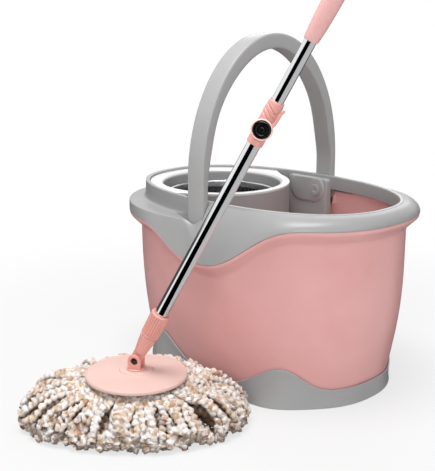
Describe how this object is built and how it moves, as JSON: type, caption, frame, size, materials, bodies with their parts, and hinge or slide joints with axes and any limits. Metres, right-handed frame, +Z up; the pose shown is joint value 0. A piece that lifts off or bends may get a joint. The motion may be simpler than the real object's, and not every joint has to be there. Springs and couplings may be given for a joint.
{
  "type": "spin mop and bucket set",
  "caption": "Oval wash-and-spin bucket with swinging carry handle and perforated spin basket, and a telescopic twist-drive mop with tilting round head",
  "frame": {"origin": "centre of the base tray's flat underside, on the floor", "axes": "+Z up; +X along the bucket towards its open wash end; the mop stands on the -Y side"},
  "size_m": [0.5554, 0.5747, 0.7306],
  "materials": {
    "pink_plastic": "smooth dusty pink moulded plastic, soft gloss",
    "grey_plastic": "light grey moulded plastic, satin",
    "pale_plastic": "very pale grey moulded plastic, satin",
    "white_plastic": "white moulded plastic",
    "black_gloss": "glossy black plastic cap",
    "steel_bright": "bright stainless steel",
    "chrome_tube": "polished chrome-plated tube",
    "yarn": "looped microfibre strands, cream, beige and tan"
  },
  "bodies": {
    "bucket": {"bucket_shell": "pink_plastic", "base_tray": "grey_plastic", "upper_frame": "grey_plastic", "spinner_housing": "pale_plastic", "spindle_post": "grey_plastic", "spindle_bush": "white_plastic"},
    "carry_handle": {"handle_bail": "grey_plastic", "handle_clip_front": "grey_plastic", "handle_clip_back": "grey_plastic"},
    "wringer_basket": {"basket_cup": "steel_bright", "basket_hub": "grey_plastic", "spindle_nut": "steel_bright", "basket_spindle": "steel_bright"},
    "mop_head": {"mop_strands": "yarn", "refill_ring": "white_plastic", "mop_plate": "pink_plastic", "hinge_foot": "pink_plastic", "hinge_pin": "steel_bright"},
    "lower_pole": {"pole_neck": "pink_plastic", "ribbed_collar": "pink_plastic", "lower_tube": "chrome_tube", "rod_plug": "white_plastic", "twisted_rod": "steel_bright", "lock_sleeve": "pink_plastic", "lock_cap": "black_gloss"},
    "length_lock": {"lock_lever": "pink_plastic"},
    "upper_pole": {"upper_tube": "chrome_tube", "nut_stop_lower": "white_plastic", "nut_stop_upper": "white_plastic", "pole_grip": "pink_plastic", "grip_cap": "pink_plastic"},
    "clutch_nut": {"drive_nut": "white_plastic"}
  },
  "joints": [
    {"name": "handle_swing", "type": "hinge", "parent": "bucket", "child": "carry_handle", "pos_m": [-0.005, 0, 0.25], "axis": [0, 1, 0], "range_deg": [-74, 0]},
    {"name": "basket_spin", "type": "hinge", "parent": "bucket", "child": "wringer_basket", "pos_m": [-0.0955, 0, 0.146], "axis": [0, 0, 1], "continuous": true},
    {"name": "mop_lift", "type": "slide", "parent": "bucket", "child": "mop_head", "axis": [0, -0.5, 0.866], "range_m": [0, 0.25]},
    {"name": "head_tilt", "type": "hinge", "parent": "mop_head", "child": "lower_pole", "pos_m": [0.0166, -0.276, 0.086], "axis": [-0.4695, 0.8829, 0], "range_deg": [-113, 56]},
    {"name": "lever_flip", "type": "hinge", "parent": "lower_pole", "child": "length_lock", "pos_m": [0.16347, -0.19791, 0.39622], "axis": [-0.5658, 0.8223, 0.0609], "range_deg": [0, 75]},
    {"name": "pole_slide", "type": "slide", "parent": "lower_pole", "child": "upper_pole", "axis": [0.4172, 0.2218, 0.8813], "range_m": [-0.07, 0.15]},
    {"name": "nut_spin", "type": "hinge", "parent": "upper_pole", "child": "clutch_nut", "pos_m": [0.09379, -0.23496, 0.24904], "axis": [0.4172, 0.2218, 0.8813], "range_deg": [-316, 676]}
  ],
  "couplings": [
    {"joint": "nut_spin", "follows": "pole_slide", "rad_per_m": 78.54}
  ]
}
